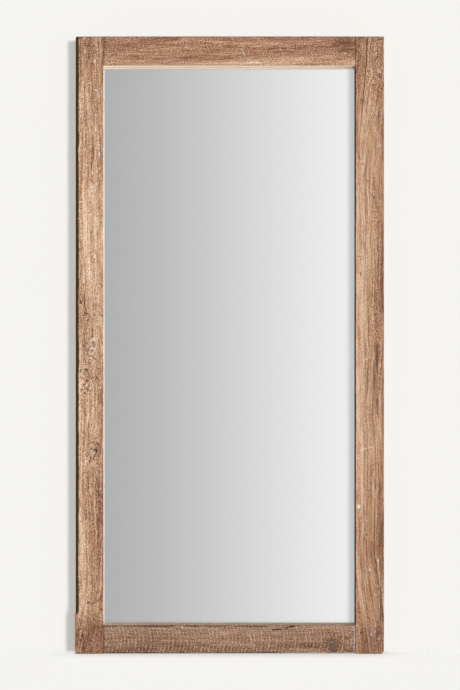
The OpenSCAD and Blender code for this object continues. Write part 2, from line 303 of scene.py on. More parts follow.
def section(width, recess_on, outer_w, outer_d, inner_r):
    """The board's cross-section as (p, d) for each row: p runs from the outer edge to the inner one
    and d from the front to the back. Its corners are quarter ellipses of the given sizes, and where
    recess_on is 0 the rebate is closed."""
    one = np.ones_like(recess_on)
    turn = lambda n: np.linspace(0, np.pi / 2, n)
    line = lambda n: np.linspace(0, 1, n, endpoint=False)[1:]
    p, d = [], []

    def run(ps, ds):
        p.extend(ps)
        d.extend(ds)

    for a in turn(10)[::-1]:                            # outer arris, from the side to the front
        run([outer_w * (1 - np.sin(a))], [outer_d * (1 - np.cos(a))])
    for t in line(FACE_STEPS):                          # front face
        run([outer_w + (width - inner_r - outer_w) * t], [0 * one])
    for a in turn(5):                                   # inner arris
        run([width - inner_r * (1 - np.sin(a))], [inner_r * (1 - np.cos(a))])
    for t in line(10):                                  # the reveal beside the glass
        run([width * one], [inner_r + (RECESS - inner_r) * t])
    back_d = RECESS + (BOARD_THICK - RECESS) * (1 - recess_on)
    wall_p = width - LIP * recess_on
    run([width * one], [RECESS * one])
    for t in line(4):                                   # behind the lip
        run([width - (width - wall_p) * t], [RECESS + (back_d - RECESS) * t])
    run([wall_p], [back_d])
    for t in line(4):                                   # up the rebate's wall
        run([wall_p], [back_d + (BOARD_THICK - back_d) * t])
    back_r = 1.5 * MM
    run([wall_p - 0.2 * MM], [BOARD_THICK * one])
    for t in line(14):                                  # the back
        run([wall_p + (back_r - wall_p) * t], [BOARD_THICK * one])
    for a in turn(4):                                   # back outer arris
        run([back_r * (1 - np.sin(a)) * one], [(BOARD_THICK - back_r * (1 - np.cos(a))) * one])
    for t in line(11):                                  # outer side, back to front
        run([0 * one], [BOARD_THICK - back_r + (outer_d - BOARD_THICK + back_r) * t])
    return np.stack(p, 1), np.stack(d, 1)


def nearness(p, s, marks, seed, ragged=0.35):
    """How far inside any mark each point is, 1 inside and 0 outside. A mark is (p, s, half width,
    half length, lean): an ellipse with a ragged rim, leaned by degrees from the board's length."""
    inside = np.zeros_like(p)
    wobble = 1 + ragged * (2 * rough_cloud(p / (3 * MM), s / (4 * MM), seed) - 1)
    for at_p, at_s, half_p, half_s, lean in marks:
        c, n = math.cos(math.radians(lean)), math.sin(math.radians(lean))
        a = ((p - at_p * MM) * c - (s - at_s * MM) * n) / (half_p * MM)
        b = ((p - at_p * MM) * n + (s - at_s * MM) * c) / (half_s * MM)
        inside = np.maximum(inside, 1 - smooth(np.hypot(a, b) * wobble, 0.72, 1.25))
    return inside


def along_line(p, s, lines, seed):
    """Strength of the given lines: each is (half width, [(p, s), ...]); points near the joined
    stretches are inside, with a slightly wandering path."""
    inside = np.zeros_like(p)
    sway = (rough_cloud(p / (9 * MM), s / (22 * MM), seed) - 0.5) * 2.2 * MM
    for half, points in lines:
        for (p0, s0), (p1, s1) in zip(points, points[1:]):
            run_p, run_s = (p1 - p0) * MM, (s1 - s0) * MM
            off_p, off_s = p + sway - p0 * MM, s - s0 * MM
            t = np.clip((off_p * run_p + off_s * run_s) / (run_p ** 2 + run_s ** 2), 0, 1)
            off = np.hypot(off_p - t * run_p, off_s - t * run_s)
            inside = np.maximum(inside, 1 - smooth(off, half * 0.45 * MM, half * 1.5 * MM))
    return inside


def board(name, length, width, place, features, recess_span, seed, flip, outer=None):
    """A board as its cross-section carried along its length, worn by moving points inwards. place
    turns (p, d, s) into (x, y, z). The grain flows round the knots and is stored on the points."""
    fine = np.append(np.array([0, 0.15, 0.45, 0.9]) * MM, END_EASE)
    inner = np.linspace(END_EASE + ROW, length - END_EASE - ROW, int(length / ROW))
    seams = np.array([v for at in recess_span for v in (at - 0.1 * MM, at + 0.1 * MM)])
    seams = seams[(seams > 2 * MM) & (seams < length - 2 * MM)]
    rows = np.unique(np.concatenate([fine, inner, seams, length - fine]))
    if outer is None:
        worn = 1.2 * MM + 1.5 * MM * rough_cloud(rows / (30 * MM), 0 * rows, seed + 5) ** 2
        outer = (lambda s: (worn, worn))
    outer_w, outer_d = outer(rows)
    inner_r = (0.35 + 0.8 * rough_cloud(rows / (24 * MM), 0 * rows + 7, seed + 6) ** 2) * MM
    open_rebate = ((rows > recess_span[0]) & (rows < recess_span[1])).astype(float)
    p, d = section(width, open_rebate, outer_w, outer_d, inner_r)
    s = np.repeat(rows[:, None], p.shape[1], 1)
    count = p.shape[1]

    # outward normal of the section, for pushing points in
    step_p, step_d = np.roll(p, -1, 1) - np.roll(p, 1, 1), np.roll(d, -1, 1) - np.roll(d, 1, 1)
    size = np.maximum(np.hypot(step_p, step_d), 1e-9)
    out_p, out_d = step_d / size, -step_p / size
    front = smooth(-out_d, 0.3, 0.8)

    # marks on the front face
    knots = nearness(p, s, features["knots"], seed + 11) * front
    wider = [(a, b, 1.35 * w, 1.3 * h, lean) for a, b, w, h, lean in features["rimmed"]]
    rims = nearness(p, s, wider, seed + 12) - nearness(p, s, features["rimmed"], seed + 12)
    rims = np.clip(rims, 0, 1) * front
    holes = nearness(p, s, features["holes"], seed + 13, 0.15) * front
    cracks = along_line(p, s, features["cracks"], seed + 14) * front
    pale = np.maximum(nearness(p, s, features["flecks"], seed + 15, 0.5),
                      along_line(p, s, features["streaks"], seed + 16)) * front
    stain = nearness(p, s, features["stains"], seed + 17, 0.6) * front

    # grain: lines along the board that drift, lean, part round each knot and turn wild in places
    bent = p.copy()
    wild = np.zeros_like(p)
    for at_p, at_s, half_p, half_s, _ in features["knots"] + features["rimmed"]:
        a, b = (p - at_p * MM), (s - at_s * MM)
        push = np.exp(-(a / (2.6 * half_p * MM)) ** 2 - (b / (2.4 * half_s * MM)) ** 2)
        bent += push * a * -0.55
    for at_p, at_s, half_p, half_s in features["wild"]:
        wild += np.exp(-((p / MM - at_p) / half_p) ** 2 - ((s / MM - at_s) / half_s) ** 2)
    wild = np.clip(wild, 0, 1)
    curl = rough_cloud(p / (19 * MM), s / (30 * MM), seed + 20, 2) - 0.5
    lazy = rough_cloud(p / (85 * MM) + 5, s / (240 * MM), seed + 21, 2) - 0.5
    across = bent + 26 * MM * lazy + (1.2 + 30 * wild) * MM * curl + features["lean"](s) + 0.8 * d
    across *= features["fine"]
    slow = (rough_cloud(p / (34 * MM), s / (150 * MM), seed + 22, 3) - 0.5) * features["blotch"]
    slow += features["tone"](p / width, s)

    # wear: shallow hollows, cracks and holes go in, and the ends are eased
    sink = (0.15 + 0.55 * rough_cloud(p / (26 * MM), s / (90 * MM), seed + 23)) * MM * front
    sink += (2.4 * cracks + 3.2 * holes + 0.35 * knots * (1 - cracks) + 0.3 * pale) * MM
    chips = smooth(rough_cloud(p / (9 * MM) + 3, s / (14 * MM), seed + 24), 0.66, 0.8)
    arris = smooth(np.abs(out_d) * np.abs(out_p), 0.05, 0.4)
    sink += 1.5 * MM * chips * arris
    to_end = np.minimum(s, length - s)
    short = np.clip(END_EASE - to_end, 0, END_EASE)
    sink += END_EASE - np.sqrt(np.maximum(END_EASE ** 2 - short ** 2, 0))
    hidden = smooth(d, RECESS - 0.5 * MM, RECESS)
    sink *= 1 - hidden * smooth(p, width - LIP - 1 * MM, width - LIP - 0.5 * MM)
    p, d = p - out_p * sink, d - out_d * sink

    points = np.stack(place(p, d, s), -1).reshape(-1, 3)
    i, j = np.meshgrid(np.arange(len(rows) - 1), np.arange(count), indexing="ij")
    k = (j + 1) % count
    quads = np.stack([i * count + j, i * count + k, (i + 1) * count + k, (i + 1) * count + j], -1)
    quads = quads.reshape(-1, 4)
    caps = [list(range(count))[::-1], [(len(rows) - 1) * count + c for c in range(count)]]
    if flip:
        quads, caps = quads[:, ::-1], [cap[::-1] for cap in caps]
    mesh = bpy.data.meshes.new(name)
    mesh.from_pydata(points, [], quads.tolist() + caps)
    sawn = smooth(d, 1.2 * MM, 2.5 * MM) * smooth(out_p, 0.5, 0.9)
    # The waney edge's mask: there the board is coloured near black, as bark and painted shade.
    bark_and_shade_edge = outer_w[:, None] + (2.6 * rough_cloud(p / (3 * MM), s / (5 * MM), seed + 30) - 0.6) * MM
    bark = (smooth(outer_d, 5 * MM, 9 * MM)[:, None] * smooth(bark_and_shade_edge - p, -0.5 * MM, 0.5 * MM)
            * smooth(outer_d[:, None] + 1 * MM - d, 0, 2 * MM))

    def store(key, kind, field, values):
        layer = mesh.attributes.new(key, kind, "POINT")
        layer.data.foreach_set(field, np.ascontiguousarray(values, np.float32).ravel())

    store("grain", "FLOAT_VECTOR", "vector", np.stack([across, s, 0 * s + seed * 0.13], -1))
    store("flat", "FLOAT_VECTOR", "vector", np.stack([p, s, d], -1))
    joint = features["joint"] * (1 - smooth(to_end, 0.5 * MM, 2.4 * MM)) * front
    store("dark", "FLOAT", "value", np.clip(cracks + holes + joint, 0, 1))
    store("knot", "FLOAT", "value", knots)
    store("pale", "FLOAT", "value", np.clip(pale + 0.8 * rims, 0, 1))
    store("stain", "FLOAT", "value", stain)
    store("tone", "FLOAT", "value", slow)
    store("sawn", "FLOAT", "value", sawn)
    store("bark", "FLOAT", "value", bark)
    store("wild", "FLOAT", "value", wild * front)
    store("side", "FLOAT", "value", smooth(-out_p, 0.75, 0.98))
    store("back", "FLOAT", "value", smooth(out_d, 0.5, 0.9))
    made = bpy.data.objects.new(name, mesh)
    scene.collection.objects.link(made)
    mesh.shade_smooth()
    for cap in mesh.polygons[-2:]:
        cap.use_smooth = False
        cap.material_index = 1
    return made


def cover(tree, out, colour, rough, relief, more=None):
    """The material's shader: a colour, a roughness and a relief of (height, strength, depth)."""
    height, strength, deep = relief
    bump = node(tree, "ShaderNodeBump", {"Strength": strength, "Distance": deep, "Height": height})
    skin = node(tree, "ShaderNodeBsdfPrincipled", {"Base Color": colour, "Roughness": rough,
                                                   "Normal": bump.outputs[0], **(more or {})})
    tree.links.new(skin.outputs[0], out.inputs["Surface"])


def old_wood_figure():
    """Shared group: the figure of old wood from a board's grain vector (across the lines, along the
    board). Tone sums broad drifts, streaks, fibres and speckle; Pores are short dark dashes and
    Checks longer ones; Flecks are bits of pale dust and paint left in the grain."""
    group = bpy.data.node_groups.new("old wood figure", "ShaderNodeTree")
    face = group.interface
    face.new_socket("Grain", in_out="INPUT", socket_type="NodeSocketVector")
    for label, value in (("Streaks", 1.35), ("Fibres", 1.2), ("Speckle", 2.3), ("Wild", 0.0)):
        face.new_socket(label, in_out="INPUT", socket_type="NodeSocketFloat").default_value = value
    for label in ("Tone", "Pores", "Checks", "Flecks", "Relief"):
        face.new_socket(label, in_out="OUTPUT", socket_type="NodeSocketFloat")
    begin, end = node(group, "NodeGroupInput"), node(group, "NodeGroupOutput")
    sums, window, noise = tools(group)

    def drawn(across, along, detail=2.0, rough=0.6, shift=0.0):
        scaled = node(group, "ShaderNodeVectorMath", {0: begin.outputs["Grain"], 1: (across, along, 9.0),
                                                      2: (shift, shift, shift)}, operation="MULTIPLY_ADD")
        return noise(scaled.outputs[0], 1.0, detail, rough)

    drift = drawn(24, 4, 3.0)
    streaks = drawn(185, 3.6, 4.0, 0.70)
    fibres = drawn(390, 24, 3.0, 0.7, 3.1)
    speckle = drawn(460, 300, 2.0, 0.7, 7.7)
    tone = sums("MULTIPLY_ADD", sums("SUBTRACT", drift, 0.5), 0.45, 0.5)
    for layer, share in ((streaks, "Streaks"), (fibres, "Fibres"), (speckle, "Speckle")):
        tone = sums("MULTIPLY_ADD", sums("SUBTRACT", layer, 0.5), begin.outputs[share], tone)
    wild = begin.outputs["Wild"]
    gathered = sums("MULTIPLY_ADD", wild, 0.5, window(drawn(26, 8, 2.0, 0.5, 11.0), 0.34, 0.60))
    pores = sums("MULTIPLY", window(drawn(360, 100, 2.0, 0.6, 1.7), 0.60, 0.65), gathered)
    checks = sums("MULTIPLY", window(drawn(430, 14, 3.0, 0.55, 5.1), 0.63, 0.70), gathered)
    dusty = sums("MULTIPLY_ADD", wild, 0.4, window(drawn(28, 14, 2.0, 0.5, 17.0), 0.44, 0.60))
    flecks = sums("MULTIPLY", window(drawn(350, 200, 3.0, 0.6, 13.0), 0.59, 0.67), dusty)
    relief = sums("MULTIPLY", speckle, 0.6)
    for layer, share in ((fibres, 0.35), (streaks, 0.45), (checks, -0.2), (pores, -0.16)):
        relief = sums("MULTIPLY_ADD", layer, share, relief)
    for value, label in zip((tone, pores, checks, flecks, relief), end.inputs.keys()):
        group.links.new(value, end.inputs[label])
    return group


FIGURE = old_wood_figure()


def mix_colour(tree, share, under, over):
    """The colour under, with over laid on it by share."""
    made = node(tree, "ShaderNodeMix", data_type="RGBA")
    for place_in, value in ((0, share), (6, under), (7, over)):
        if isinstance(value, bpy.types.NodeSocket):
            tree.links.new(value, made.inputs[place_in])
        else:
            made.inputs[place_in].default_value = value if place_in == 0 else (*value, 1)
    return made.outputs[2]


def shade(colour, share):
    """A colour made darker or lighter by a share, up to white."""
    return tuple(min(share * c, 1) for c in colour)


SAW_RADIUS, SAW_MIDDLE, SAW_STEP = 100 * MM, 38 * MM, 10.8 * MM


def old_wood(name, browns, fresh, saw_marks=0.0, flecks=0.6, figure=None):
    """Weathered softwood. browns are (tone, colour) from the darkest fibres to the bleached ones.
    Over them lie stains, worn pale paint, saw marks, knots, bark and painted shade on a waney edge,
    cracks, and the given colour on the sawn faces: fresher wood on the cross boards, and painted light
    on the uprights, a painted highlight on the left reveal and painted shadow on the right one."""
    material, out = new_material(name)
    tree = material.node_tree
    sums, window, noise = tools(tree)

    def stored(key, output="Fac"):
        return node(tree, "ShaderNodeAttribute", attribute_name=key).outputs[output]

    def lay(share, strength, over):
        """The colour so far, with over laid on it by share times strength."""
        return mix_colour(tree, sums("MULTIPLY", share, strength), colour, over)

    grain = node(tree, "ShaderNodeGroup", node_tree=FIGURE)
    tree.links.new(stored("grain", "Vector"), grain.inputs["Grain"])
    for label, value in (figure or {}).items():
        grain.inputs[label].default_value = value
    speckle = grain.inputs["Speckle"].default_value            # a board's back is smoother than its face
    tree.links.new(window(stored("back"), 0.0, 1.0, speckle, 0.35 * speckle), grain.inputs["Speckle"])
    flat = stored("flat", "Vector")
    tree.links.new(stored("wild"), grain.inputs["Wild"])
    tone = sums("ADD", stored("tone"), grain.outputs["Tone"])
    ramp = node(tree, "ShaderNodeValToRGB", {"Fac": tone})
    stops = ramp.color_ramp.elements
    for number, (at, brown) in enumerate(browns):
        stop = stops[number] if number < 2 else stops.new(at)
        stop.position, stop.color = at, (*brown, 1)
    colour = ramp.outputs["Color"]
    darkest = browns[0][1]
    colour = lay(stored("stain"), 0.4, darkest)

    # circular-saw marks: arcs of one radius that step along the board, worn away in places
    mottle = noise(flat, 45.0, 3.0)
    parts = node(tree, "ShaderNodeSeparateXYZ", {0: flat})
    rise = sums("SUBTRACT", parts.outputs["X"], SAW_MIDDLE)
    arc = sums("SQRT", sums("MULTIPLY_ADD", rise, sums("MULTIPLY", rise, -1.0), SAW_RADIUS ** 2))
    along = sums("MULTIPLY_ADD", mottle, 0.8 * SAW_STEP, sums("SUBTRACT", parts.outputs["Y"], arc))
    sawing = 0.0
    for step, share in ((SAW_STEP, 0.7), (2 * SAW_STEP, 1.0)):
        tooth = sums("PINGPONG", along, step / 2)
        tooth = window(tooth, 1.6 * MM, 0.5 * MM, 0.0, share)
        sawing = sums("MAXIMUM", sawing, tooth)
    broken = window(sums("ADD", mottle, noise(flat, 190.0)), 0.90, 1.06, 0.0, saw_marks)
    sawing = sums("MULTIPLY", sawing, broken)
    colour = mix_colour(tree, sawing, colour, browns[-1][1])

    grit = noise(flat, 480.0, 3.0, 0.7)
    colour = lay(grain.outputs["Flecks"], flecks, (0.78, 0.66, 0.53))
    rubbed = window(sums("ADD", grit, grain.outputs["Tone"]), 0.76, 0.94)
    colour = lay(sums("MULTIPLY", stored("pale"), rubbed), 0.92, (0.80, 0.75, 0.69))
    colour = lay(grain.outputs["Pores"], 0.8, darkest)
    colour = lay(grain.outputs["Checks"], 0.7, shade(darkest, 0.4))
    knot_rings = sums("FRACT", sums("MULTIPLY_ADD", stored("knot"), 3.1, sums("MULTIPLY", grit, 0.9)))
    colour = lay(stored("knot"), 0.85, mix_colour(tree, knot_rings, (0.05, 0.033, 0.027), (0.20, 0.13, 0.10)))

    # Sawn faces: fresher wood on the cross boards; on the uprights painted light, paled to near white on the
    # left reveal as a painted highlight and near black on the right reveal as painted shadow.
    sawn_faces_and_painted_light = mix_colour(tree, window(grain.outputs["Relief"], 0.7, 1.15), shade(fresh, 0.86), fresh)
    colour = mix_colour(tree, stored("sawn"), colour, sawn_faces_and_painted_light)
    colour = lay(stored("side"), 0.75, shade(darkest, 0.5))
    # The waney edge: near-black bark and painted shade.
    bark_and_shade_colour = mix_colour(tree, window(grit, 0.35, 0.68), (0.026, 0.014, 0.008), (0.150, 0.080, 0.046))
    colour = mix_colour(tree, stored("bark"), colour, bark_and_shade_colour)
    crack = sums("MULTIPLY", stored("dark"), window(grit, 0.32, 0.46, 0.62, 0.98))
    colour = mix_colour(tree, crack, colour, (0.030, 0.019, 0.014))

    height = sums("MULTIPLY_ADD", sawing, -0.2, grain.outputs["Relief"])
    height = sums("MULTIPLY_ADD", grit, sums("MULTIPLY_ADD", stored("bark"), 0.6, 0.1), height)
    rough = window(tone, 0.2, 0.8, 0.92, 0.70)
    cover(tree, out, colour, rough, (height, 0.8, 3.5 * MM), {"Specular IOR Level": 0.2})
    return material


def end_grain():
    """Sawn end of a board: curved rings close together, dirty and dry."""
    material, out = new_material("sawn board end")
    tree = material.node_tree
    _, _, noise = tools(tree)
    place = node(tree, "ShaderNodeTexCoord").outputs["Object"]
    warp = node(tree, "ShaderNodeTexNoise", {"Vector": place, "Scale": 22.0, "Detail": 3.0})
    bend = node(tree, "ShaderNodeMix", {0: 0.012, 4: place, 5: warp.outputs["Color"]}, data_type="VECTOR")
    rings = node(tree, "ShaderNodeTexWave", {"Vector": bend.outputs[1], "Scale": 60.0, "Distortion": 2.0,
                                             "Detail": 2.0}, wave_type="RINGS", rings_direction="Z")
    specks = noise(place, 900.0)
    colour = mix_colour(tree, rings.outputs["Fac"], (0.42, 0.27, 0.17), (0.24, 0.145, 0.09))
    colour = mix_colour(tree, specks, colour, (0.16, 0.11, 0.08))
    cover(tree, out, colour, 0.9, (specks, 0.5, 0.6 * MM))
    return material


BOARD_END = end_grain()


def fit(made, materials, body, stands_for):
    """Gives a piece its materials and its body, and hides the CAD node that it stands for."""
    for material in materials:
        made.data.materials.append(material)
    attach(made, body)
    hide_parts(stands_for)


STILE_WIDE = 82 * MM
stile_tall = high[2] - low[2]
TOP_WIDE, BOTTOM_WIDE, FOOT_GAP = 85 * MM, 82 * MM, 3 * MM
POCKET = (FOOT_GAP + BOTTOM_WIDE - LIP, stile_tall - TOP_WIDE + LIP)


def wane(s):
    """Width and depth of the waney arris at each height: about 9 by 18 mm above the chip near the
    foot, where it dies out, and a small worn arris below."""
    on = smooth(s, 112 * MM, 122 * MM)
    rough = rough_cloud(s / (35 * MM), 0 * s, 311)
    fine = rough_cloud(s / (7 * MM), 0 * s + 4, 312)
    wide = (1.2 + on * (6.6 + 3.0 * rough + 1.0 * fine)) * MM
    deep = (1.4 + on * (14.0 + 4.5 * rough)) * MM
    return wide, deep


LEFT_MARKS = {
    "knots": [(54, 902, 2.4, 8, 0), (8, 853, 5, 6, 0), (50, 885, 5, 4, 0), (62, 589, 3.0, 3.6, 0)],
    "rimmed": [(54, 902, 6, 15, 0)],
    "holes": [(28, 1775, 2.6, 2.8, 0), (32, 1740, 2.2, 2.4, 0), (69, 1779, 2.0, 2.2, 0),
              (69, 1742, 2.0, 2.2, 0), (76, 129, 2.6, 3, 0), (21, 53, 2.6, 3.0, 0), (25, 17, 2.4, 2.4, 0),
              (18, 770, 3.0, 2.2, 0), (27, 760, 3.6, 2.0, 0), (33, 795, 3.2, 2.0, 0),
              (15, 826, 2.2, 3.2, 0), (24, 785, 2.2, 1.8, 0), (36, 771, 2, 2, 0), (22, 804, 2.2, 1.6, 0)],
    "cracks": [(0.9, [(49, 950), (50, 938), (50, 922)]), (1.0, [(47, 868), (55, 862), (62, 856)]),
               (0.9, [(25, 1059), (26, 1012)]), (0.9, [(30, 832), (37, 822), (41, 806)]),
               (1.3, [(62, 590), (57, 580), (51, 567)]), (1.2, [(61, 597), (52, 594), (45, 599)]),
               (0.9, [(47, 575), (41, 560)]), (0.8, [(36, 610), (44, 618), (52, 616)]),
               (0.9, [(32, 420), (32, 392)]), (0.8, [(34, 150), (52, 147), (68, 156), (76, 168)])],
    "flecks": [(56, 585, 1.5, 5, 35), (31, 560, 1.6, 3, 20), (57, 1727, 2.2, 4.5, 0), (28, 1755, 2.0, 6, 0),
               (62, 1642, 3.2, 3.8, 0), (64, 1628, 3.0, 4.6, 0), (35, 1591, 1.6, 2.8, 0),
               (19, 1578, 2.0, 3.6, 0), (59, 1531, 2.4, 7, 0), (16, 1489, 1.6, 2.8, 0),
               (72, 1482, 2.0, 7, 8), (71, 1454, 2.2, 8, 0), (71, 1416, 1.8, 3.2, 0), (52, 1403, 2.2, 4, 0),
               (50, 1363, 2.2, 6, 0), (14, 1316, 2.0, 2.4, 0), (44, 1280, 3, 5, 0), (55, 1157, 3, 6, 0),
               (26, 810, 3.0, 4, 0), (17, 780, 2.6, 3, 0), (44, 776, 3, 4, 0), (33, 783, 2, 3, 0),
               (8, 190, 1.4, 1.6, 0)],
    "streaks": [(1.3, [(50, 1366), (51, 1330), (49, 1301)]), (1.0, [(40, 1147), (41, 1094)]),
                (0.9, [(57, 1590), (58, 1560)]), (0.9, [(24, 1120), (25, 1080)]),
                (1.0, [(44, 907), (35, 893), (31, 880), (31, 866), (35, 855)])],
    "stains": [(3, 1080, 5, 14, 0), (72, 394, 8, 12, 0), (62, 40, 26, 60, 0), (66, 600, 8, 14, 0)],
    "wild": [(46, 880, 22, 60), (28, 795, 24, 46), (50, 600, 24, 50), (40, 1000, 40, 60), (40, 1760, 24, 60)],
    "lean": lambda s: 0.14 * np.maximum(0.20 - s, 0),
    "joint": 0.8, "blotch": 0.30, "fine": 1.0,
    "tone": lambda a, s: (-0.07 + 0.16 * np.exp(-((s - 1.15) / 0.42) ** 2) - 0.21 * smooth(s, 0.14, 0.05)
                          - 0.09 * smooth(s, 1.62, 1.72) + 0.03 * np.exp(-((s - 0.45) / 0.18) ** 2)
                          - 0.50 * (a - 0.5) * smooth(s, 0.98, 0.78) * smooth(s, 0.06, 0.16)),
}
STILE_BROWNS = [(0.12, (0.125, 0.050, 0.026)), (0.32, (0.323, 0.162, 0.092)), (0.50, (0.474, 0.272, 0.162)),
                (0.68, (0.608, 0.388, 0.247)), (0.92, (0.76, 0.578, 0.430))]

left_stile = board(
    "left_stile_wood", stile_tall, STILE_WIDE,
    lambda p, d, s: (low[0] + p, low[1] + d, s),
    LEFT_MARKS, POCKET, seed=3, flip=False, outer=wane)
# Its reveal's near-white colour is partly a painted highlight, the face looking towards the light.
left_wood = old_wood("left upright wood", STILE_BROWNS, fresh=(1.0, 0.94, 0.86))
fit(left_stile, (left_wood, BOARD_END), "frame", "left_stile")

# ---------------------------------------------------------------------------------------------
# Right upright: a second board from the same stock, square-edged, with a long crack that wanders
# down from its top, and the outer corner of its foot worn round.
RIGHT_MARKS = {
    "knots": [(21, 850, 3, 14, 4), (20, 57, 5, 12, 0), (30, 1332, 3, 6, 0)],
    "rimmed": [],
    "holes": [(20, 1741, 2, 2.2, 0), (60, 1739, 1.8, 2.0, 0), (67, 63, 2.4, 2.6, 0), (27, 23, 1.8, 2, 0),
              (27, 12, 1.8, 2, 0), (55, 34, 1.8, 2, 0), (47, 1699, 1.8, 1.6, 0), (20, 901, 1.8, 2.4, 0)],
    "cracks": [(1.15, [(50, 1797), (50, 1779), (52, 1716), (55.5, 1686), (57, 1658)]),
               (0.95, [(57, 1658), (60, 1636), (61, 1621), (63.5, 1602), (65, 1575), (67, 1546)]),
               (0.65, [(67, 1546), (69.5, 1528), (70.5, 1503), (73, 1472), (73.5, 1442)]),
               (0.9, [(32, 1799), (31, 1784)]), (1.5, [(4, 1794), (18, 1790)]),
               (1.2, [(13, 1692), (15, 1684), (10, 1682)]), (1.1, [(20, 744), (20, 700)]),
               (0.9, [(22, 900), (20, 870), (21, 838), (18, 812)]), (0.9, [(38, 297), (38, 283)]),
               (0.8, [(11, 230), (10, 150), (11, 96)])],
    "flecks": [(11, 1481, 1.6, 2, 0), (28, 1415, 1.6, 2.2, 0), (74, 430, 5, 6, 0), (17, 272, 2.2, 3.4, 0),
               (41, 245, 2.2, 3, 0), (10, 202, 1.6, 5, 0), (26, 64, 1.8, 4, 0),
               (14, 48, 1.8, 4, 0), (38, 58, 2.0, 4, 0)],
    "streaks": [(0.8, [(62, 855), (36, 866)]), (0.8, [(65, 595), (33, 604)])],
    "stains": [(21, 830, 4, 40, 0), (24, 790, 10, 70, 0), (20, 878, 9, 34, 0), (40, 30, 44, 50, 0)],
    "wild": [(22, 868, 16, 46), (22, 60, 16, 30), (24, 1700, 20, 60)],
    "lean": lambda s: 0.12 * np.maximum(s - 1.40, 0) + 0.12 * np.maximum(0.30 - s, 0),
    "joint": 0.8, "blotch": 0.22, "fine": 1.1,
    "tone": lambda a, s: (-0.045 + 0.30 * (a - 0.5) * smooth(s, 1.76, 1.60) * smooth(s, 0.10, 0.25)
                          - 0.14 * smooth(s, 1.62, 1.74) - 0.05 * smooth(s, 0.16, 0.07)
                          + 0.06 * np.exp(-((s - 1.15) / 0.20) ** 2)
                          - 0.09 * np.exp(-((s - 0.36) / 0.26) ** 2)
                          - 0.03 * np.exp(-((a - 0.11) / 0.05) ** 2) + 0.06 * smooth(a, 0.05, 0.01)),
}

FOOT_ROUND = 12 * MM


def right_place(p, d, s):
    """The right upright's points; those past the round at the foot's outer corner move onto it."""
    corner_p, corner_s = FOOT_ROUND - p, FOOT_ROUND - s
    past = np.hypot(np.maximum(corner_p, 0), np.maximum(corner_s, 0)) / FOOT_ROUND
    pull = np.where((corner_p > 0) & (corner_s > 0), np.maximum(past, 1), 1)
    return (high[0] - (FOOT_ROUND - corner_p / pull), low[1] + d, FOOT_ROUND - corner_s / pull)


right_stile = board(
    "right_stile_wood", stile_tall, STILE_WIDE, right_place,
    RIGHT_MARKS, POCKET, seed=8, flip=True)
# Its reveal's near-black colour is painted shadow, the face looking away from the light.
right_wood = old_wood("right upright wood", STILE_BROWNS, fresh=(0.065, 0.026, 0.011), flecks=0.45,
                      figure={"Streaks": 1.2, "Fibres": 1.1, "Speckle": 2.2})
fit(right_stile, (right_wood, BOARD_END), "frame", "right_stile")

# ---------------------------------------------------------------------------------------------
# Top board: fine straight grain, redder, with whitish fuzz, butted between the uprights.
sight_left, sight_right = low[0] + STILE_WIDE, high[0] - STILE_WIDE
rail_long = sight_right - sight_left
WHOLE_RAIL = (-1.0, 9.0)             # the rebate runs out past both ends
TOP_MARKS = {
    "knots": [],
    "rimmed": [],
    "holes": [],
    "cracks": [(1.0, [(4, 2), (80, 3)])],
    "flecks": [(37, 515, 1.8, 2.4, 0), (14, 628, 1.8, 2.2, 0), (49, 705, 1.6, 2.2, 0), (75, 432, 1.4, 5, 0),
               (71, 441, 1.3, 4, 0), (76, 449, 1.5, 6, 0),
               (30, 242, 1.8, 2.4, 0)],
    "streaks": [(0.8, [(38, 404), (58, 412)])],
    "stains": [(22, 700, 22, 34, 0), (1, 368, 2.4, 420, 0)],
    "wild": [],
    "lean": lambda s: 0.02 * s,
    "joint": 1.0, "blotch": 0.14, "fine": 1.3,
    "tone": lambda a, s: (-0.10 + 0.05 * a + 0.12 * smooth(a, 0.70, 0.95)
                          - 0.08 * (1 - a) * smooth(s, 0.60, 0.72)),
}
top_rail = board(
    "top_rail_wood", rail_long, TOP_WIDE,
    lambda p, d, s: (sight_left + s, low[1] + d, high[2] - p),
    TOP_MARKS, WHOLE_RAIL, seed=14, flip=False)
TOP_BROWNS = [(0.10, (0.115, 0.045, 0.023)), (0.32, (0.282, 0.129, 0.070)), (0.50, (0.394, 0.199, 0.112)),
              (0.68, (0.505, 0.288, 0.170)), (0.90, (0.69, 0.500, 0.350))]
top_wood = old_wood("top board wood", TOP_BROWNS, fresh=(1.0, 0.84, 0.64), flecks=0.65,
                    figure={"Streaks": 0.9, "Fibres": 1.6, "Speckle": 3.2})
fit(top_rail, (top_wood, BOARD_END), "frame", "top_rail")

# ---------------------------------------------------------------------------------------------
# Bottom board: greyer and darker, with the arched marks of a circular saw right across it.
BOTTOM_DROP = 2 * MM
BOTTOM_MARKS = {
    "knots": [(14, 668, 11, 10, 0), (45, 690, 2, 4, 0), (40, 664, 5, 5, 0)],
    "rimmed": [],
    "holes": [],
    "cracks": [(1.9, [(67, 493), (69, 505), (69, 517)]), (1.9, [(72, 531), (76, 543), (77, 556)]),
               (1.0, [(77, 380), (77, 476)]), (1.2, [(78, 4), (78, 206)]), (1.0, [(78, 235), (78, 360)]),
               (0.9, [(1.5, 10), (1.5, 240)]), (0.9, [(1.5, 330), (1.5, 500)])],
    "flecks": [(75, 230, 2.0, 3, 0)],
    "streaks": [(0.45, [(64, 420), (11, 442)]), (0.8, [(4, 731), (76, 731)])],
    "stains": [(30, 670, 24, 20, 0), (81, 368, 2, 420, 0), (10, 100, 10, 60, 0)],
    "wild": [(30, 672, 26, 26), (30, 716, 26, 20)],
    "lean": lambda s: 0.02 * s,
    "joint": 1.0, "blotch": 0.18, "fine": 1.2,
    "tone": lambda a, s: -0.18 + 0.19 * a,
}


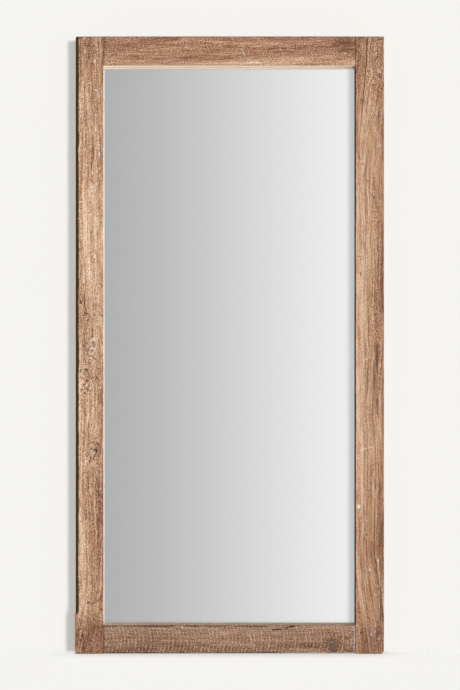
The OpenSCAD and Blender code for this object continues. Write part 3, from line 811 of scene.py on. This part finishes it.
def bottom_place(p, d, s):
    """The bottom board's points; its lower edge drops by BOTTOM_DROP towards its left end."""
    drop = BOTTOM_DROP * (1 - s / rail_long) * (1 - p / BOTTOM_WIDE)
    return (sight_left + s, low[1] + d, FOOT_GAP + p - drop)


bottom_rail = board(
    "bottom_rail_wood", rail_long, BOTTOM_WIDE, bottom_place,
    BOTTOM_MARKS, WHOLE_RAIL, seed=25, flip=True)
BOTTOM_BROWNS = [(0.12, (0.070, 0.032, 0.020)), (0.32, (0.195, 0.098, 0.058)), (0.50, (0.300, 0.172, 0.108)),
                 (0.68, (0.400, 0.245, 0.160)), (0.90, (0.58, 0.410, 0.290))]
bottom_wood = old_wood("bottom board wood", BOTTOM_BROWNS, fresh=(1.0, 0.80, 0.62), saw_marks=0.75,
                       figure={"Streaks": 1.0, "Fibres": 1.0, "Speckle": 2.4})
fit(bottom_rail, (bottom_wood, BOARD_END), "frame", "bottom_rail")

# ---------------------------------------------------------------------------------------------
# Mirror glass: one sheet of 4 mm float glass with ground edges, silvered behind and painted grey on
# its back. It stands in the pocket behind the boards' lips.
def ringed(name, pieces, closed=False):
    """One mesh of closed surfaces through rings of points: pieces is an array (piece, ring, point,
    xyz). The last ring joins the first where closed; otherwise a flat cap shuts each end."""
    count, rings, around, _ = pieces.shape
    i, j = np.meshgrid(np.arange(rings if closed else rings - 1), np.arange(around), indexing="ij")
    i_next, j_next = (i + 1) % rings, (j + 1) % around
    quads = np.stack([i * around + j, i_next * around + j, i_next * around + j_next, i * around + j_next], -1)
    faces = []
    for first in range(0, count * rings * around, rings * around):
        faces += (quads.reshape(-1, 4) + first).tolist()
        if not closed:
            last = first + (rings - 1) * around
            faces += [list(range(first, first + around)), list(range(last, last + around))[::-1]]
    mesh = bpy.data.meshes.new(name)
    mesh.from_pydata(pieces.reshape(-1, 3), [], faces)
    work = bmesh.new()
    work.from_mesh(mesh)
    if work.calc_volume(signed=True) < 0:
        bmesh.ops.reverse_faces(work, faces=work.faces)
    for face in work.faces:
        face.smooth = max(abs(c) for c in face.normal) < 0.9999
    work.to_mesh(mesh)
    work.free()
    made = bpy.data.objects.new(name, mesh)
    scene.collection.objects.link(made)
    return made


def quarter(size):
    """A quarter round from a face down to a side: how far in and how far down, at each of 4 points."""
    turn = np.linspace(0, np.pi / 2, 4)
    return size * (1 - np.sin(turn)), size * (1 - np.cos(turn))


def slab(name, cad_node, corner, ease):
    """A flat sheet that fills a CAD node's box: an outline with round corners, whose edge is a quarter
    round of size ease, a straight side and a quarter round. Its rim attribute is 1 on the sides."""
    lowest, highest = (np.array(c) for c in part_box(cad_node))
    middle, half = (lowest + highest) / 2, (highest - lowest) / 2
    turn = (np.arange(32) + 0.5) * np.pi / 16
    round_x, round_z = np.cos(turn), np.sin(turn)
    inwards, down = quarter(ease)
    inset = np.concatenate([inwards, inwards[::-1]])[:, None]
    depth = np.concatenate([lowest[1] + down, highest[1] - down[::-1]])[:, None]
    x = middle[0] + np.sign(round_x) * (half[0] - corner) + (corner - inset) * round_x
    z = middle[2] + np.sign(round_z) * (half[2] - corner) + (corner - inset) * round_z
    made = ringed(name, np.stack([x, depth + 0 * x, z], -1)[None])
    rim = made.data.attributes.new("rim", "FLOAT", "POINT")
    rim.data.foreach_set("value", (1 - inset / ease + 0 * x).astype(np.float32).ravel())
    return made


def silver():
    """Silver behind clear glass, with the least haze."""
    material, out = new_material("silvered glass")
    tree = material.node_tree
    _, window, noise = tools(tree)
    place = node(tree, "ShaderNodeTexCoord").outputs["Object"]
    film = window(noise(place, 3.0, 4.0), 0.3, 0.7, 0.004, 0.03)
    skin = node(tree, "ShaderNodeBsdfPrincipled", {"Base Color": (0.93, 0.94, 0.935, 1), "Metallic": 1.0,
                                                   "Roughness": film})
    tree.links.new(skin.outputs[0], out.inputs["Surface"])
    return material


def mirror_paint():
    """Grey paint rolled over the silver, and the greenish ground edge of the glass."""
    material, out = new_material("mirror back paint")
    tree = material.node_tree
    _, _, noise = tools(tree)
    rolled = noise(node(tree, "ShaderNodeTexCoord").outputs["Object"], 420.0)
    paint = mix_colour(tree, rolled, (0.17, 0.18, 0.19), (0.25, 0.26, 0.27))
    edge = node(tree, "ShaderNodeAttribute", attribute_name="rim").outputs["Fac"]
    colour = mix_colour(tree, edge, paint, (0.34, 0.47, 0.42))
    cover(tree, out, colour, 0.5, (rolled, 0.3, 0.3 * MM))
    return material


mirror = slab("silvered_glass_sheet", "mirror_glass", corner=2 * MM, ease=0.6 * MM)
fit(mirror, (silver(), mirror_paint()), "frame", "mirror_glass")
for face in mirror.data.polygons:
    face.material_index = 0 if face.normal.y < -0.9999 else 1


# ---------------------------------------------------------------------------------------------
# Dowels: two fluted beech pegs glued into each of the four butt joints, 60 mm long and 10 mm thick.
DOWEL_LONG, DOWEL_R = 60 * MM, 5 * MM
FLUTES, FLUTE_DEEP = 12, 0.35 * MM


def beech():
    """Pale beech: straight fine grain along X, with the short dark flecks of its rays."""
    material, out = new_material("beech")
    tree = material.node_tree
    _, window, noise = tools(tree)
    place = node(tree, "ShaderNodeTexCoord").outputs["Object"]
    shades = []
    for stretch, detail in (((60, 700, 700), 3.0), ((400, 2600, 2600), 2.0)):
        drawn = node(tree, "ShaderNodeVectorMath", {0: place, 1: stretch}, operation="MULTIPLY").outputs[0]
        shades.append(noise(drawn, 1.0, detail))
    colour = mix_colour(tree, shades[0], (0.50, 0.33, 0.19), (0.70, 0.51, 0.32))
    colour = mix_colour(tree, window(shades[1], 0.56, 0.64), colour, (0.36, 0.21, 0.115))
    cover(tree, out, colour, 0.65, (shades[0], 0.4, 0.3 * MM))
    return material


def dowels(places):
    """Pegs along X about the given (x, y, z) middles: a circle whose radius dips at each flute, and
    which closes in over 1 mm at both ends."""
    along = np.array([0, 0.3, 1, 12, 30, 48, 59, 59.7, 60]) * MM
    bevel = smooth(along, -0.6 * MM, 1 * MM) * smooth(DOWEL_LONG - along, -0.6 * MM, 1 * MM)
    turn = np.linspace(0, 2 * np.pi, FLUTES * 6, endpoint=False)
    radius = (DOWEL_R - FLUTE_DEEP * smooth(np.cos(FLUTES * turn), 0.2, 1.0)) * (0.8 + 0.2 * bevel[:, None])
    round_peg = np.stack([along[:, None] - DOWEL_LONG / 2 + 0 * radius, radius * np.cos(turn),
                          radius * np.sin(turn)], -1)
    return ringed("dowel_pegs", np.array(places)[:, None, None] + round_peg)


dowel_low, dowel_high = (np.array(c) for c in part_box("corner_dowels"))
dowel_y = (dowel_low[1] + dowel_high[1]) / 2
dowel_heights = [FOOT_GAP + share * (BOTTOM_WIDE - LIP) for share in (0.3, 0.78)]
dowel_heights += [stile_tall - share * (TOP_WIDE - LIP) for share in (0.3, 0.78)]
fit(dowels([(x, dowel_y, z) for x in (sight_left, sight_right) for z in dowel_heights]), (beech(),),
    "frame", "corner_dowels")


# ---------------------------------------------------------------------------------------------
# Black rubber: two setting blocks under the glass, and four turned bumpers that keep the frame off
# the wall, each with a deep recess for its screw's head.
def black_rubber():
    """Moulded rubber: near black and dull, with a fine pebble skin and a little grey dust."""
    material, out = new_material("black rubber")
    tree = material.node_tree
    _, window, noise = tools(tree)
    place = node(tree, "ShaderNodeTexCoord").outputs["Object"]
    pebbles, patches = noise(place, 2200.0), noise(place, 160.0, 4.0)
    colour = mix_colour(tree, pebbles, (0.014, 0.014, 0.015), (0.030, 0.030, 0.031))
    colour = mix_colour(tree, window(patches, 0.52, 0.74, 0.0, 0.6), colour, (0.115, 0.108, 0.098))
    cover(tree, out, colour, window(patches, 0.3, 0.7, 0.48, 0.82), (pebbles, 0.35, 0.2 * MM))
    return material


RUBBER = black_rubber()
SIDES = ("left", "right")
for side in SIDES:
    fit(slab(f"rubber_block_{side}", f"setting_block_{side}", corner=0.9 * MM, ease=0.4 * MM), (RUBBER,),
        "frame", f"setting_block_{side}")

BACK = 15 * MM                       # the frame's back, from which the hardware stands out
# a bumper's section, as (radius, height above the frame's back, rounding), round the solid rubber
BUMPER_SECTION = [(14, 0, 0.4), (13.3, 3.5, 1.2), (12, 10, 1.1), (6, 10, 0.7), (6, 4, 0.6), (2.05, 4, 0.1),
                  (2.05, 0, 0.1)]


def rounded_section(corners, steps=4):
    """The closed outline through corners, each cut off by a smooth curve that starts and ends at the
    rounding's distance from it: weights (1-t)^2, 2t(1-t) and t^2 of start, corner and end."""
    points = np.array([c[:2] for c in corners], float)
    size = np.array([c[2] for c in corners])[:, None]
    before, after = np.roll(points, 1, 0) - points, np.roll(points, -1, 0) - points
    start = points + size * before / np.linalg.norm(before, axis=1, keepdims=True)
    end = points + size * after / np.linalg.norm(after, axis=1, keepdims=True)
    t = np.linspace(0, 1, steps)[None, :, None]
    curve = (1 - t) ** 2 * start[:, None] + 2 * t * (1 - t) * points[:, None] + t ** 2 * end[:, None]
    return curve.reshape(-1, 2) * MM


def bumper(name, cad_node):
    """The bumper's section turned about an axis through the middle of its CAD node, front to back."""
    lowest, highest = (np.array(c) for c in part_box(cad_node))
    middle = (lowest + highest) / 2
    radius, height = rounded_section(BUMPER_SECTION)[:, :, None].transpose(1, 0, 2)
    turn = np.linspace(0, 2 * np.pi, 64, endpoint=False)
    return ringed(name, np.stack([middle[0] + radius * np.cos(turn), BACK + height + 0 * turn,
                                  middle[2] + radius * np.sin(turn)], -1)[None], closed=True)


CORNERS = [f"{end}_{side}" for end in ("top", "bottom") for side in SIDES]
for corner in CORNERS:
    fit(bumper(f"rubber_bumper_{corner}", f"wall_bumper_{corner}"), (RUBBER,), "frame",
        f"wall_bumper_{corner}")


# ---------------------------------------------------------------------------------------------
# Backing: a corrugated card sheet that cushions the glass, and behind it a smooth brown hardboard
# panel, flush with the frame's back and held by the turn buttons.
def surface_group(name, labels):
    """A shader group with a Place input and the labelled outputs. Gives the group, its output node and
    a way to add noise at a scale, turned by an angle in degrees about Y."""
    group = bpy.data.node_groups.new(name, "ShaderNodeTree")
    group.interface.new_socket("Place", in_out="INPUT", socket_type="NodeSocketVector")
    for label in labels:
        group.interface.new_socket(label, in_out="OUTPUT", socket_type="NodeSocketFloat")
    begin, end = node(group, "NodeGroupInput"), node(group, "NodeGroupOutput")
    _, _, noise = tools(group)

    def turned(scale, detail=2.0, angle=0.0):
        place = node(group, "ShaderNodeMapping", {"Vector": begin.outputs[0], "Scale": scale,
                                                  "Rotation": (0, math.radians(angle), 0)})
        return noise(place.outputs[0], 1.0, detail)

    return group, end, turned


def pressed_fibres():
    """Shared group: fibres pressed flat that lie every way. Fibres is their light and dark, Bits are
    the few coarse dark ones, and Handling is broad soft patches of wear."""
    group, end, turned = surface_group("pressed fibres", ("Fibres", "Bits", "Handling"))
    sums, window, _ = tools(group)
    fibres = turned((1100, 300, 240), angle=20)
    for angle in (75, 140):
        fibres = sums("MAXIMUM", fibres, turned((1100, 300, 240), angle=angle))
    group.links.new(fibres, end.inputs["Fibres"])
    group.links.new(window(turned((520, 300, 190), 3.0, 50), 0.66, 0.74), end.inputs["Bits"])
    group.links.new(turned((5, 5, 4), 6.0), end.inputs["Handling"])
    return group


PRESSED = pressed_fibres()
CARD_MIDDLE, FLUTE_DEPTH = 5 * MM, 1.3 * MM        # the wavy sheet: its middle's place, and its reach


def fibre_sheet(name, dark, light, bit, flute=0.0):
    """A sheet of pressed fibres, paler along its raw rim and duller where it was handled. Where flute
    is a length, its faces show faint ribs that far apart and its rim the wavy sheet inside, with the
    open channels beside it coloured dark as painted shade."""
    material, out = new_material(name)
    tree = material.node_tree
    sums, window, _ = tools(tree)
    place = node(tree, "ShaderNodeTexCoord").outputs["Object"]
    rim = node(tree, "ShaderNodeAttribute", attribute_name="rim").outputs["Fac"]
    fibres, bits, handling = node(tree, "ShaderNodeGroup", {"Place": place}, node_tree=PRESSED).outputs
    colour = mix_colour(tree, window(fibres, 0.45, 0.72), dark, light)
    colour = mix_colour(tree, window(handling, 0.42, 0.66, 0.0, 0.22), colour, shade(dark, 0.72))
    colour = mix_colour(tree, sums("MULTIPLY", bits, 0.7), colour, bit)
    colour = mix_colour(tree, sums("MULTIPLY", rim, 0.8), colour, shade(light, 1.25))
    height = sums("MULTIPLY", fibres, 0.5)
    if flute:
        along, through, _ = node(tree, "ShaderNodeSeparateXYZ", {0: place}).outputs
        wave = sums("SINE", sums("MULTIPLY", along, 2 * math.pi / flute))
        height = sums("MULTIPLY_ADD", wave, 0.4, height)
        off_middle = sums("SUBTRACT", through, CARD_MIDDLE)
        off_wave = sums("ABSOLUTE", sums("MULTIPLY_ADD", wave, -FLUTE_DEPTH, off_middle))
        inside = window(sums("ABSOLUTE", off_middle), 1.7 * MM, 1.5 * MM)
        # Painted shade in the open channels between the wavy sheet and the faces.
        channel_shade = sums("MULTIPLY", sums("MULTIPLY", window(off_wave, 0.25 * MM, 0.45 * MM), inside), rim)
        colour = mix_colour(tree, channel_shade, colour, shade(dark, 0.22))
        colour = mix_colour(tree, sums("MULTIPLY_ADD", wave, 0.05, 0.06), colour, shade(dark, 0.6))
    cover(tree, out, colour, window(handling, 0.35, 0.7, 0.55, 0.85), (height, 0.4, 0.4 * MM))
    return material


CARD = fibre_sheet("corrugated card", (0.36, 0.235, 0.135), (0.50, 0.35, 0.215), (0.17, 0.105, 0.06), 7 * MM)
HARDBOARD = fibre_sheet("hardboard", (0.150, 0.082, 0.044), (0.270, 0.165, 0.095), (0.060, 0.032, 0.018))
fit(slab("card_sheet", "cushion_sheet", corner=3 * MM, ease=0.3 * MM), (CARD,), "frame",
    "cushion_sheet")
fit(slab("hardboard_panel", "backing_board", corner=4 * MM, ease=0.8 * MM), (HARDBOARD,), "frame",
    "backing_board")


# ---------------------------------------------------------------------------------------------
# Turn buttons: twelve stamped and zinc-plated steel strips with round ends. Each turns on its own
# screw, and its nose holds the backing in.
def plated_skin():
    """Shared group: the skin of plated steel. Bloom is broad dull areas, Rubbed is fine crossing
    scratches and Specks are small spots of tarnish."""
    group, end, turned = surface_group("plated skin", ("Bloom", "Rubbed", "Specks"))
    sums, window, _ = tools(group)
    rubbed = sums("MAXIMUM", turned((90, 90, 3200), 3.0, 25), turned((90, 90, 2600), 3.0, -40))
    group.links.new(turned((130, 130, 130), 4.0), end.inputs["Bloom"])
    group.links.new(rubbed, end.inputs["Rubbed"])
    group.links.new(window(turned((700, 700, 700)), 0.64, 0.72), end.inputs["Specks"])
    return group


PLATED = plated_skin()


def plated_steel(name, bright, dull, speck):
    """Thin bright plating on steel, gone dull in patches, rubbed by handling and specked."""
    material, out = new_material(name)
    tree = material.node_tree
    sums, window, _ = tools(tree)
    place = node(tree, "ShaderNodeTexCoord").outputs["Object"]
    bloom, rubbed, specks = node(tree, "ShaderNodeGroup", {"Place": place}, node_tree=PLATED).outputs
    bloom = window(bloom, 0.36, 0.66)
    colour = mix_colour(tree, bloom, bright, dull)
    colour = mix_colour(tree, window(rubbed, 0.55, 0.75, 0.0, 0.4), colour, shade(bright, 0.8))
    colour = mix_colour(tree, sums("MULTIPLY", specks, 0.6), colour, speck)
    rough = sums("MULTIPLY_ADD", specks, 0.2, window(bloom, 0.0, 1.0, 0.27, 0.46))
    metal = window(specks, 0.0, 1.0, 1.0, 0.5)
    cover(tree, out, colour, rough, (rubbed, 0.15, 0.1 * MM), {"Metallic": metal})
    return material


ZINC = plated_steel("zinc-plated steel", (0.70, 0.71, 0.715), (0.50, 0.505, 0.50), (0.30, 0.275, 0.245))
BUTTON_R, BUTTON_HOLE, BUTTON_EASE = 6 * MM, 2.08 * MM, 0.4 * MM


def turn_button(name, cad_node):
    """A strip with round ends, as the points at one distance from its middle line, and a hole whose
    points lie in the same directions from the screw. Quarter rounds ease both rims, front and back."""
    lowest, highest = (np.array(c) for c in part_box(cad_node))
    middle, half = (lowest + highest) / 2, (highest - lowest) / 2
    long_way = 0 if half[0] > half[2] else 2
    outwards = np.zeros(3)
    outwards[long_way] = np.sign(middle[long_way] - (0, 0, stile_tall / 2)[long_way])
    screw = middle + outwards * (half[long_way] - BUTTON_R)
    turn = (np.arange(48) + 0.5) * np.pi / 24
    inwards, down = quarter(BUTTON_EASE)
    inset = np.concatenate([inwards, inwards[::-1]])[:, None]
    depth = np.concatenate([highest[1] - down, lowest[1] + down[::-1]])[:, None]
    nose = 2 * (half[long_way] - BUTTON_R) * (np.cos(turn) > 0)
    rim = np.stack([nose + (BUTTON_R - inset) * np.cos(turn), (BUTTON_R - inset) * np.sin(turn)])
    hole = rim[:, -1:] / np.hypot(*rim[:, -1:]) * (BUTTON_HOLE + inset[::-1])
    flat = np.concatenate([rim, hole], 1)
    depth = np.concatenate([depth, depth[::-1]]) + 0 * flat[0]
    along, sideways = -outwards, np.array([outwards[2], 0, outwards[0]])
    points = (np.array([screw[0], 0, screw[2]]) + flat[0][..., None] * along + flat[1][..., None] * sideways
              + depth[..., None] * np.array([0, 1, 0]))
    return ringed(name, points[None], closed=True)


for cad_node in sorted(nodes):
    if cad_node.startswith("turn_button_") and cad_node != "turn_button_screws":
        made = turn_button(cad_node.replace("turn_button", "button"), cad_node)
        fit(made, (ZINC,), cad_node, cad_node)


# ---------------------------------------------------------------------------------------------
# Corner plates and hangers: flat L plates screwed over the four joints, and on each upright a strap
# curled round a D ring bent from round wire. All are zinc-plated steel with rolled-over edges.
PLATE_EASE = 0.3 * MM


def eased_copy(name, cad_node):
    """The CAD piece's own shape, merged and with its sharp edges rounded over."""
    mesh = nodes[cad_node].data.copy()
    mesh.name = name
    mesh.materials.clear()
    work = bmesh.new()
    work.from_mesh(mesh)
    bmesh.ops.remove_doubles(work, verts=work.verts, dist=0.001 * MM)
    bmesh.ops.dissolve_limit(work, angle_limit=math.radians(0.5), verts=work.verts, edges=work.edges)
    sharp = [e for e in work.edges if e.is_manifold and e.calc_face_angle(0) > math.radians(35)]
    bmesh.ops.bevel(work, geom=sharp, offset=PLATE_EASE, segments=2, profile=0.5, affect="EDGES",
                    clamp_overlap=True)
    for face in work.faces:
        face.smooth = max(abs(c) for c in face.normal) < 0.9999
    work.to_mesh(mesh)
    work.free()
    made = bpy.data.objects.new(name, mesh)
    scene.collection.objects.link(made)
    return made


def coat(cad_node, material):
    """A CAD piece that keeps its own shape takes a better finish."""
    nodes[cad_node].data.materials.clear()
    nodes[cad_node].data.materials.append(material)


for corner in CORNERS:
    fit(eased_copy(f"angle_plate_{corner}", f"corner_plate_{corner}"), (ZINC,), "frame",
        f"corner_plate_{corner}")
for side in SIDES:
    fit(eased_copy(f"strap_{side}", f"hanger_strap_{side}"), (ZINC,), "frame",
        f"hanger_strap_{side}")
    coat(f"hanger_ring_{side}", ZINC)

# ---------------------------------------------------------------------------------------------
# Screws: cross-recessed wood screws, yellow passivated, pan heads on the buttons and bumpers and
# countersunk heads in the plates and straps.
YELLOW = plated_steel("yellow passivated screws", (0.80, 0.66, 0.36), (0.60, 0.50, 0.31), (0.28, 0.21, 0.14))
for what in ("turn_button", "corner_plate", "hanger", "wall_bumper"):
    coat(f"{what}_screws", YELLOW)
